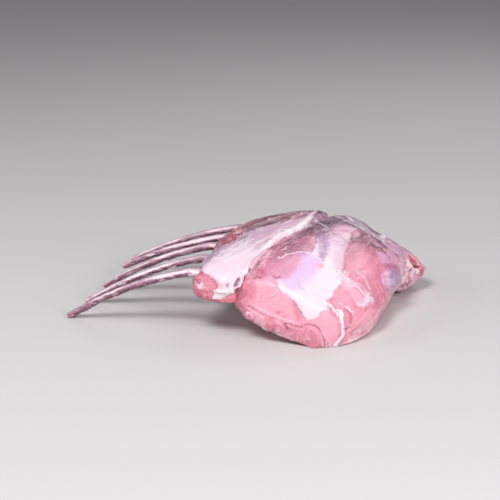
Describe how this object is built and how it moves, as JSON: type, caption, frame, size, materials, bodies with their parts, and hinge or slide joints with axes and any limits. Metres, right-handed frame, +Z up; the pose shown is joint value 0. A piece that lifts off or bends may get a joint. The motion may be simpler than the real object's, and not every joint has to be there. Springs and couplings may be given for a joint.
{
  "type": "rack of veal",
  "caption": "Raw rack of veal: a rounded loin with silverskin, a fat-covered flap and scraped, curved rib bones that reach out to one side.",
  "frame": {"origin": "the middle of the bounding box in plan, on the surface that the rack lies on", "axes": "+X points to the chine side, -X to the rib tips, +Y along the rack from its near cut end to its far end, +Z up"},
  "size_m": [0.3298, 0.2834, 0.088],
  "materials": {
    "loin_meat": "moist pale pink raw meat under silverskin",
    "rib_meat": "moist darker pink raw meat",
    "fat": "waxy white fat with a pink cast",
    "cartilage": "pearly smooth cartilage",
    "bone": "moist scraped bone with thin pink tissue"
  },
  "bodies": {
    "root": {"eye_muscle": "loin_meat", "chine_muscle": "loin_meat", "lining_muscle": "rib_meat", "small_muscle": "rib_meat", "rib_flap": "rib_meat", "fat_cover": "fat", "seam_fat": "fat", "cartilage": "cartilage", "rib_1": "bone", "rib_2": "bone", "rib_3": "bone", "rib_4": "bone", "rib_5": "bone"}
  },
  "joints": []
}
